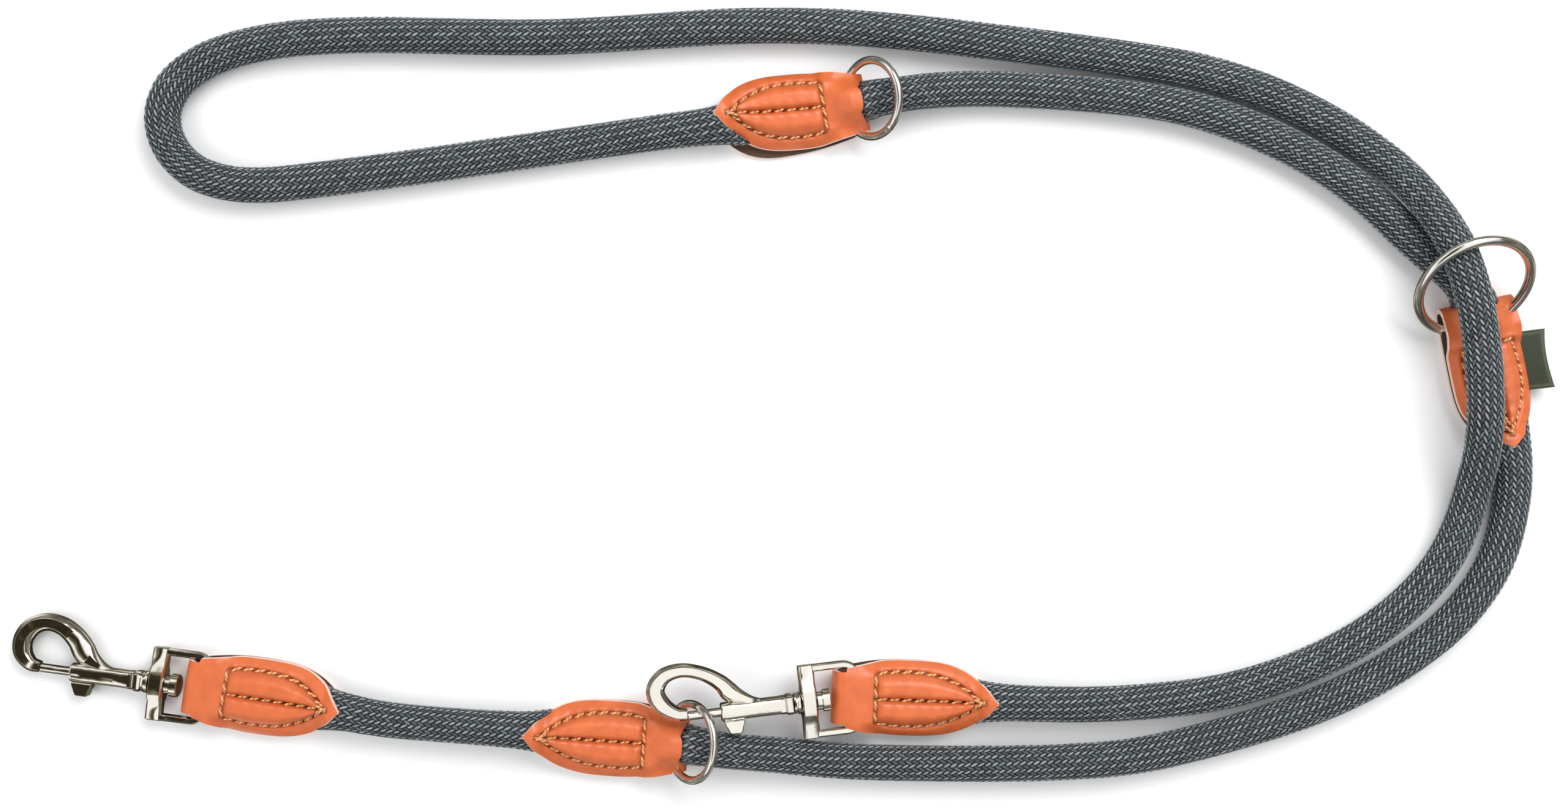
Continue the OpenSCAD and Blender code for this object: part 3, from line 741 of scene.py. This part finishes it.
    def sew(self, random):
        """Every stitch on the tab, as one mesh of short twisted threads."""
        shape, ply = Shape(), []
        share = np.linspace(-1, 1, 11)
        for at in self.stitches:
            heading = unit(at[-1] - at[0])
            side = np.array([-heading[1], heading[0]])
            lean = (0.30 + random.normal(0, 0.08)) * share
            at = at + side * lean[:, None]
            lift = 0.40 * (1 - share ** 4) - 0.75 * share ** 8 + random.normal(0, 0.03)
            centre = np.column_stack([at, self.top(at[:, 0], at[:, 1]) + lift])
            ply.append(add_thread(shape, centre, 0.46 * (1 - 0.25 * share ** 4)))
        made = make_object(f"{self.name}_seam", self.to_row(shape.points), shape.faces, [thread])
        add_point_value(made, "ply", np.concatenate(ply))
        return made


def split_line(path):
    """Cuts a sewn line into stitches of about the same pitch, each an array of 11 (u, v)."""
    run = np.concatenate([[0], np.cumsum(np.linalg.norm(np.diff(path, axis=0), axis=1))])
    count = max(1, int(round(run[-1] / STITCH_PITCH)))
    step = run[-1] / count
    pieces = []
    for k in range(count):
        s = (k + np.linspace(0.13, 0.87, 11)) * step
        pieces.append(np.stack([np.interp(s, run, path[:, c]) for c in range(2)], 1))
    return pieces


def add_thread(shape, centre, radius):
    """A short tube with two twisted plies; returns how far each point stands out."""
    sides = 10
    along = unit(np.gradient(centre, axis=0))
    side = unit(np.cross(along, [0, 0, 1]))
    up = np.cross(side, along)
    run = np.concatenate([[0], np.cumsum(np.linalg.norm(np.diff(centre, axis=0), axis=1))])
    angle = np.linspace(0, 2 * math.pi, sides, endpoint=False)[None]
    relief = np.cos(2 * angle - 2 * math.pi * run[:, None] / 1.9)
    size = radius[:, None] * (1 + 0.13 * relief)
    ring = (centre[:, None] + size[..., None] * (
        side[:, None] * np.cos(angle)[..., None] + up[:, None] * np.sin(angle)[..., None]))
    shape.loft(ring)
    return (0.5 + 0.5 * relief).ravel()


def ribbon_label(tab):
    """A short folded ribbon caught in the side seam: two layers joined by the outer fold."""
    half_length, reach, thick = 10.0, 8.6, 0.35
    along = np.linspace(-half_length, half_length, 41)
    path = [(-4.0, 0.0), (-2.0, 0.0), (0.0, 0.0), (2.0, 0.0), (4.0, 0.0), (6.0, 0.0),
            (7.4, 0.0), (8.2, 0.05), (8.55, 0.3), (8.6, 0.55), (8.45, 0.85), (8.0, 1.05),
            (7.0, 1.1), (5.0, 1.05), (3.0, 1.0), (1.0, 0.95), (-1.0, 0.9), (-4.0, 0.9)]
    path = spline(np.column_stack([path, np.zeros(len(path))]), 3)[:, :2]
    tangent = unit(np.gradient(path, axis=0))
    normal = np.column_stack([-tangent[:, 1], tangent[:, 0]])
    centre_u = 23.0
    start = tab.half(np.array([centre_u]))[0] - 1.5
    sheets = []
    for offset in (0.0, thick):
        line = path + normal * offset
        u = centre_u + along[None] + 0.10 * line[:, :1]
        v = start + line[:, :1] + 0.010 * (along[None] - 4) ** 2 * (line[:, :1] / reach)
        sag = 1.1 * np.sin(along / 7.0)[None] * np.clip(line[:, :1] / reach, 0, 1)
        z = 4.2 + line[:, 1:2] + sag + 0 * u
        sheets.append(np.stack([u, v, z], -1))
    m, n = sheets[0].shape[:2]
    points = np.concatenate([s.reshape(-1, 3) for s in sheets])
    made = make_object("woven_label", tab.to_row(points), sheet_faces(m, n)[0], [ribbon], 40)
    u = np.tile(np.tile(along, m), 2)
    v = np.tile(np.repeat(path[:, 0], n), 2)
    add_point_value(made, "warp", u * MM)
    add_point_value(made, "weft", v * MM)
    edge = np.maximum(np.exp(-((np.abs(u) - 8.9) / 0.35) ** 2),
                      np.exp(-((v - 7.6) / 0.35) ** 2) * (v > 6))
    add_point_value(made, "border", np.clip(edge, 0, 1))
    return made


tabs = {name: Tab(name) for name in TABS}


def inside_a_tab(rows):
    """True where the rope's centre lies deep inside a tab, out of sight."""
    hidden = np.zeros(len(rows), bool)
    for tab in tabs.values():
        local = tab.from_row(rows[:, :3])
        hidden |= ((local[:, 0] > 9) & (local[:, 0] < tab.length - 9)
                   & (np.abs(local[:, 1]) < ROPE_REACH) & (local[:, 2] < ROPE_TOP))
    return hidden


def under_the_flaps(room):
    """Gives the function that presses rope points, in mm, into the tabs they pass through."""
    def press(points, middle):
        for tab in tabs.values():
            at = tab.from_row(middle)
            near = ((at[..., 0] > -8) & (at[..., 0] < tab.length + 4)
                    & (np.abs(at[..., 1]) < ROPE_REACH) & (at[..., 2] < ROPE_TOP))
            local = tab.from_row(points[near])
            points[near] = tab.squeeze(local, room) @ tab.axes + tab.origin
        return points
    return press


rope_tube = rope_core_tube(rope, under_the_flaps(0.45))
braid = braid_floats(rope, inside_a_tab, under_the_flaps(0.12))
random = np.random.default_rng(3)
for tab in tabs.values():
    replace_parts(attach(tab.build(), "lead"), f"{tab.name}_tab")
    seam = tab.sew(random)
    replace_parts(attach(seam, "lead"), f"{tab.name}_stitching")
label = ribbon_label(tabs["big_ring"])
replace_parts(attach(label, "lead"), "side_label")

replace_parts(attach(rope_tube, "lead"), "rope_sheath", "rope_core")
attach(braid, "lead")

# ---- rings and snaps ------------------------------------------------------------------


def joint(name):
    return next(j for j in frame["joints"] if j["name"] == name)


def welded_ring(node, wire):
    """A closed wire ring with a small weld bead, around the CAD ring's own circle."""
    low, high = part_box(node)
    centre = np.array((low + high) / 2) / MM
    hinge = np.array(joint(f"{node}_swing")["pos_m"]) / MM
    axis = unit(np.array(joint(f"{node}_swing")["axis"]))
    radial = unit(centre - hinge)
    radius = np.linalg.norm(centre - hinge)
    normal = np.cross(axis, radial)
    turns = np.linspace(0, 2 * math.pi, 160, endpoint=False)
    sides = np.linspace(0, 2 * math.pi, 28, endpoint=False)
    weld = 0.10 * np.exp(-((turns - 1.05) * radius / 0.45) ** 2)
    weld = weld - 0.07 * np.exp(-((np.abs(turns - 1.05) * radius - 0.85) / 0.3) ** 2)
    size = wire / 2 + weld
    out = np.cos(turns)[:, None] * radial + np.sin(turns)[:, None] * axis
    ring = (centre + radius * out)[:, None] + size[:, None, None] * (
        out[:, None] * np.cos(sides)[None, :, None] + normal * np.sin(sides)[None, :, None])
    faces = loft_faces(len(turns), len(sides), caps=False)
    last, k = (len(turns) - 1) * len(sides), len(sides)
    faces += [(last + i, last + (i + 1) % k, (i + 1) % k, i) for i in range(k)]
    made = make_object(f"{node}_wire", ring.reshape(-1, 3) * MM, faces, [ring_steel])
    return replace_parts(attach(made, node), node)


welded_ring("lower_ring", 2.7)
welded_ring("big_ring", 3.3)
welded_ring("handle_ring", 2.7)

# The snaps' sizes, in mm, from the eye's far bar; the hook lies towards -x
CROSSBAR = (-20.1, -14.5)
MOUTH = -47.0
BARREL_R = 3.1
LIMBS = {
    "free": [(-11, 0.3, 3.9), (-14.2, 0.9, 4.8), (-17.4, 4.4, 6.2), (-17.8, 9, 6.4),
             (-15.2, 13.4, 6.2), (-10.2, 15.6, 5.8), (-4.4, 14.6, 6.2), (0.6, 11, 7),
             (4, 6.6, 7.6), (7.6, 4.3, 4.6), (11, 2.95, 2.1), (13.5, 2.5, 1.1)],
    "clipped": [(-11.4, 0.5, 4), (-15, 1.3, 4.8), (-19.4, 4.8, 6.2), (-21, 9.4, 6.2),
                (-18.2, 13.8, 5.4), (-12, 15.4, 4.6), (-4.6, 13.4, 4.6), (1, 9.6, 5.4),
                (4, 6, 6.4), (7.6, 4.1, 4.2), (11, 2.95, 2.1), (13.5, 2.5, 1.1)],
}


def cut_section(half_width, half_height, cut):
    """An eight-sided section with its corners cut, each corner split in two."""
    w, h = half_width, half_height
    corner = [(w, h * (1 - 1.5 * cut)), (w * (1 - cut), h)]
    quarter = [corner[0], (w * (1 - 0.12 * cut), h * (1 - 1.15 * cut)),
               (w * (1 - 0.85 * cut), h * (1 - 0.10 * cut)), corner[1]]
    out = []
    for sx, sz, order in ((1, 1, 1), (-1, 1, -1), (-1, -1, 1), (1, -1, -1)):
        out += [(sx * x, sz * z) for x, z in quarter[::order]]
    return np.array(out)


# The barrel behind the mouth: (distance, size, half width of its slot), then (distance, radius)
SHUT = 0.004
BARREL_FRONT = [(0.0, 0.84, SHUT), (0.25, 0.97, SHUT), (0.6, 1.0, SHUT), (0.88, 1.0, SHUT),
                (0.9, 1.0, 1.1), (5.5, 1.0, 1.1), (9.0, 0.97, 1.1), (15.2, 0.97, 1.1),
                (15.22, 0.97, SHUT), (20.2, 0.97, SHUT)]
BARREL_REAR = [(20.1, 3.00), (21.6, 3.00), (22.0, 3.10), (22.3, 3.35), (23.9, 3.40),
               (24.3, 3.22), (24.5, 2.85)]
BORE_R = 1.7
# The spring behind the bolt: its ends' distances from the mouth, its turns and its radii.
SPRING = (4.94, 20.06)
COIL_TURNS = 9
COIL_R = 1.12
WIRE_R = 0.24


def slotted_ring(scale, gap):
    """The barrel's wall as one outline: out round the slot's far side, then back along the bore."""
    outer_r = BARREL_R * scale
    outer_gap, bore_gap = math.asin(gap / outer_r), math.asin(gap / BORE_R)
    out = np.linspace(math.pi + outer_gap, 3 * math.pi - outer_gap, 49)
    back = np.linspace(3 * math.pi - bore_gap, math.pi + bore_gap, 33)
    flat = (np.abs(np.cos(out)) ** 3 + np.abs(np.sin(out)) ** 3) ** (1 / 3)
    outside = outer_r * np.column_stack([np.cos(out), np.sin(out)]) / flat[:, None]
    inside = BORE_R * np.column_stack([np.cos(back), np.sin(back)])
    return np.vstack([outside, inside])


class Snap:
    """One swivel-eye bolt snap in the frame of its eye's far bar."""

    def __init__(self, name):
        self.name = name
        pivot, turn = joint(f"{name}_eye_pivot"), joint(f"{name}_swivel")
        self.origin = np.array(pivot["pos_m"]) / MM
        x, y = unit(np.array(turn["axis"])), unit(np.array(pivot["axis"]))
        self.axes = np.stack([x, y, np.cross(x, y)])

    def to_row(self, points):
        return (np.array(points) @ self.axes + self.origin) * MM

    def make(self, piece, shape, body):
        """A cast piece that rides on one of the snap's bodies and replaces its own CAD node."""
        made = make_object(f"{self.name}_{piece}_cast", self.to_row(shape.points), shape.faces,
                           [nickel], 28)
        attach(made, f"{self.name}_{body}")
        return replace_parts(made, f"{self.name}_{piece}")

    def sweep(self, rows, cut=0.5):
        """Sweeps a cut section along rows of (x, y, half width, half height)."""
        rows = np.asarray(rows, float)
        centre = rows[:, :2]
        along = unit(np.gradient(centre, axis=0))
        side = np.column_stack([along[:, 1], -along[:, 0]])
        sections = []
        for c, s, (w, h) in zip(centre, side, rows[:, 2:4]):
            section = cut_section(w, h, cut)
            sections.append([(c[0] + s[0] * x, c[1] + s[1] * x, z) for x, z in section])
        return sections

    def hook(self):
        limb = spline([(x, y, 0, w) for x, y, w in LIMBS[self.name]], 8)
        run = np.linspace(0, 1, len(limb))
        half_height = 1.9 + 0.75 * smoothstep(0.0, 0.18, run) - 0.9 * smoothstep(0.86, 1.0, run)
        rows = np.column_stack([limb[:, 0] + MOUTH, limb[:, 1], limb[:, 3] / 2, half_height])
        shape = Shape().loft(self.sweep(rows))
        shape.loft([[(MOUTH + x, y, z) for y, z in slotted_ring(scale, gap)]
                    for x, scale, gap in BARREL_FRONT])
        shape.loft([[(MOUTH + x, y, z) for y, z in cut_section(r, r, 0.30)]
                    for x, r in BARREL_REAR])
        return self.make("hook", shape, "hook")

    def bolt(self):
        tip = LIMBS[self.name][0][0] + 0.3
        shape = Shape()
        shape.lathe([(MOUTH + tip, 1.2), (MOUTH + tip + 0.3, 1.5), (MOUTH + 4.4, 1.5)], 40)
        knob = [(0.8, -3.15), (0.9, -4.2), (1.5, -5.4), (2.3, -7.2), (2.8, -7.6), (6.2, -7.6),
                (6.7, -7.2), (7.2, -5.2), (7.8, -4.2), (7.8, -3.15)]
        outline = np.array(knob)
        middle = outline.mean(0)
        sections = []
        for z, inset in ((-2.0, 0.86), (-1.6, 1.0), (1.6, 1.0), (2.0, 0.86)):
            ring = middle + (outline - middle) * inset
            sections.append([(MOUTH + x, y, z) for x, y in ring])
        shape.loft(sections)
        shape.loft([[(MOUTH + x, y, z) for y, z in ((-3.6, -0.95), (-3.6, 0.95), (-1.0, 0.95),
                                                    (-1.0, -0.95))] for x in (1.2, 4.2)])
        return self.make("bolt", shape, "bolt")

    def spring(self):
        """A wire coil between the bolt's end and the barrel's closed rear."""
        shape = Shape()
        run = np.linspace(0, 1, COIL_TURNS * 28 + 1)
        wind = 2 * math.pi * COIL_TURNS * run
        sides = np.linspace(0, 2 * math.pi, 10, endpoint=False)
        sections = []
        for s, a in zip(run, wind):
            x = MOUTH + SPRING[0] + WIRE_R + (SPRING[1] - SPRING[0] - 2 * WIRE_R) * s
            out = COIL_R + WIRE_R * np.cos(sides)
            sections.append(np.column_stack([
                x + WIRE_R * np.sin(sides), out * math.cos(a), out * math.sin(a)]))
        shape.loft(sections)
        made = make_object(f"{self.name}_spring_coil", self.to_row(shape.points), shape.faces,
                           [spring_steel], 60)
        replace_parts(made, f"{self.name}_spring")
        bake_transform(made)
        return made

    def eye(self):
        shape = Shape()
        x0, x1 = CROSSBAR
        middle = (x0 + x1) / 2
        bar = [(-12.4, 2.55, 1.3), (-12.1, 2.75, 1.6), (-9.0, 2.75, 2.0), (-6.0, 2.6, 2.6),
               (-4.6, 2.75, 3.7), (-3.0, 2.8, 4.1), (0.0, 2.8, 4.3), (3.0, 2.8, 4.1),
               (4.6, 2.75, 3.7), (6.0, 2.6, 2.6), (9.0, 2.75, 2.0), (12.1, 2.75, 1.6),
               (12.4, 2.55, 1.3)]
        sections = []
        for y, w, h in bar:
            ring = cut_section(w, h, 0.30)
            sections.append([(middle + x, y, z) for x, z in ring[::-1]])
        shape.loft(sections)
        leg, corner = 11.1, 5.0
        bend = np.linspace(0, math.pi / 2, 12)[1:]
        path = [(x, -leg) for x in np.linspace(x1 - 1.0, -corner, 8)]
        path += [(-corner + corner * math.sin(a), -leg + corner * (1 - math.cos(a))) for a in bend]
        path += [(0.0, y) for y in np.linspace(-leg + corner, leg - corner, 8)[1:]]
        path += [(-corner + corner * math.cos(a), leg - corner * (1 - math.sin(a))) for a in bend]
        path += [(x, leg) for x in np.linspace(-corner, x1 - 1.0, 8)[1:]]
        path = np.array(path)
        square = 1 - smoothstep(-9.0, -4.0, path[:, 0])
        rows = np.column_stack([path, np.full(len(path), 1.30), 1.35 + 0.15 * square])
        shape.loft(self.sweep(rows))
        return self.make("eye", shape, "eye")

    def rivet(self):
        start = CROSSBAR[1] + 0.1
        shape = Shape().lathe([
            (start, 2.6), (start, 3.2), (start + 1.5, 3.2), (start + 1.6, 3.0),
            (start + 1.65, 3.7), (start + 1.85, 3.9), (start + 4.0, 3.9), (start + 4.3, 3.65),
            (start + 4.4, 3.2), (start + 4.4, 2.2), (start + 4.2, 2.0)])
        return self.make("rivet", shape, "hook")

    def collar(self):
        end = CROSSBAR[0] - 0.1
        shape = Shape().lathe([
            (end - 2.2, 2.9), (end - 2.1, 3.4), (end - 1.5, 3.6), (end - 1.35, 3.2),
            (end - 1.0, 3.2), (end - 0.85, 3.75), (end - 0.2, 3.8), (end, 3.5)])
        return self.make("collar", shape, "hook")


for snap in (Snap("free"), Snap("clipped")):
    snap.hook()
    snap.bolt()
    snap.eye()
    snap.rivet()
    snap.collar()
    snap.spring()

# ---- floor and light ------------------------------------------------------------------

floor_look = Shader("floor")
# Painted reflection: glossy rays see a patchy dark and white floor in place of the even white one,
# which puts dark and bright marks into the metal's reflections.
painted_floor_reflection = floor_look.ramp(floor_look.noise(22.0, 2.0), [
    (0.42, (0.018, 0.015, 0.009)), (0.52, (0.18, 0.16, 0.10)), (0.64, (0.90, 0.90, 0.88))])
glossy_ray = floor_look.add("ShaderNodeLightPath").outputs["Is Glossy Ray"]
floor_look.set(Base_Color=floor_look.mix(glossy_ray, (0.95, 0.95, 0.955, 1), painted_floor_reflection),
               Roughness=0.9)
bpy.ops.mesh.primitive_plane_add(size=6, location=(0, 0, -0.0002))
floor = bpy.context.object
floor.name = "floor"
floor.data.materials.append(floor_look.material)

# Diffuse light is even. Reflections see a dark ceiling overhead, bright panels around it and a
# warm dim horizon; overhead it is bright on the right and dark on the left.
BANDS = [(0.00, (0.10, 0.09, 0.07)), (0.30, (0.30, 0.27, 0.22)), (0.42, (0.06, 0.05, 0.035)),
         (0.58, (1.2, 1.2, 1.2)), (0.76, (1.3, 1.3, 1.3)), (0.86, (0.30, 0.27, 0.18)),
         (1.0, (0.03, 0.024, 0.012))]
AMBIENT = 0.66
PATCHINESS = 0.55
FULL_HEIGHT = 1.28
world = bpy.data.worlds.new("studio")
bpy.context.scene.world = world
world.use_nodes = True
sky = Nodes(world.node_tree, "Generated")
even = world.node_tree.nodes["Background"]
even.inputs["Color"].default_value = (1, 1, 1, 1)
even.inputs["Strength"].default_value = AMBIENT
direction = sky.add("ShaderNodeSeparateXYZ", Vector=sky.place).outputs
patches = sky.math("MULTIPLY", sky.noise(1.9, 3.0), PATCHINESS)
sideways = sky.spread(direction["X"], 0.06, -0.30, -0.24, -0.12)
height = sky.math("ADD", sky.math("ADD", patches, direction["Z"]), sideways)
bands = sky.ramp(sky.math("DIVIDE", height, FULL_HEIGHT), BANDS)
mirrored_sky = sky.add("ShaderNodeBackground", Color=bands)
choose = sky.add("ShaderNodeMixShader")
sky.feed(choose.inputs[0], sky.add("ShaderNodeLightPath").outputs["Is Glossy Ray"])
sky.feed(choose.inputs[1], even.outputs[0])
sky.feed(choose.inputs[2], mirrored_sky.outputs[0])
sky.feed(world.node_tree.nodes["World Output"].inputs["Surface"], choose.outputs[0])


def softbox(name, at, size, power, mirrored=True):
    data = bpy.data.lights.new(name, "AREA")
    data.shape = "RECTANGLE"
    data.size = size[0]
    data.size_y = size[1]
    data.energy = power
    light = bpy.data.objects.new(name, data)
    light.location = at
    light.rotation_euler = (-Vector(at)).to_track_quat("-Z", "Y").to_euler()
    light.visible_glossy = mirrored
    bpy.context.scene.collection.objects.link(light)


softbox("key", (0.48, 0.66, 0.90), (0.95, 0.80), 12.5)
softbox("fill", (-0.8, -0.3, 0.9), (0.8, 0.8), 4, mirrored=False)
bpy.context.scene.view_settings.view_transform = "Standard"
